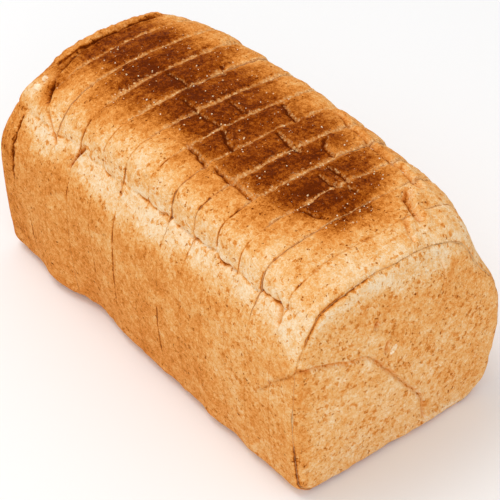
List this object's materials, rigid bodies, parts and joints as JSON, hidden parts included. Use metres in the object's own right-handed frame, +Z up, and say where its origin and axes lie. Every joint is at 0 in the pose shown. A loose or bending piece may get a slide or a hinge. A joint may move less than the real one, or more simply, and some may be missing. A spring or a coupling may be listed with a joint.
{
  "type": "sliced wholemeal tin loaf",
  "caption": "Wholemeal tin loaf, sliced through and still standing together: mushroom top with a dark baked band, pale shoulder, flat underside and a rounded heel at each end.",
  "frame": {"origin": "middle of the loaf's underside, on the surface it stands on", "axes": "+X along the loaf towards its near heel, +Y across it, +Z up; the picture looks at the -Y side and the +X heel"},
  "size_m": [0.243, 0.1248, 0.1173],
  "materials": {
    "crust": "dry baked crust, dark on top, golden sides and pale shoulders, with bran flecks",
    "heel_crust": "dry baked end crust with fine pits and bran flecks"
  },
  "bodies": {
    "root": {"heel_far": "heel_crust", "slice_01": "crust", "slice_02": "crust", "slice_03": "crust", "slice_04": "crust", "slice_05": "crust", "slice_06": "crust", "slice_07": "crust", "slice_08": "crust", "slice_09": "crust", "slice_10": "crust", "slice_11": "crust", "slice_12": "crust", "slice_13": "crust", "heel_near": "heel_crust"}
  },
  "joints": []
}
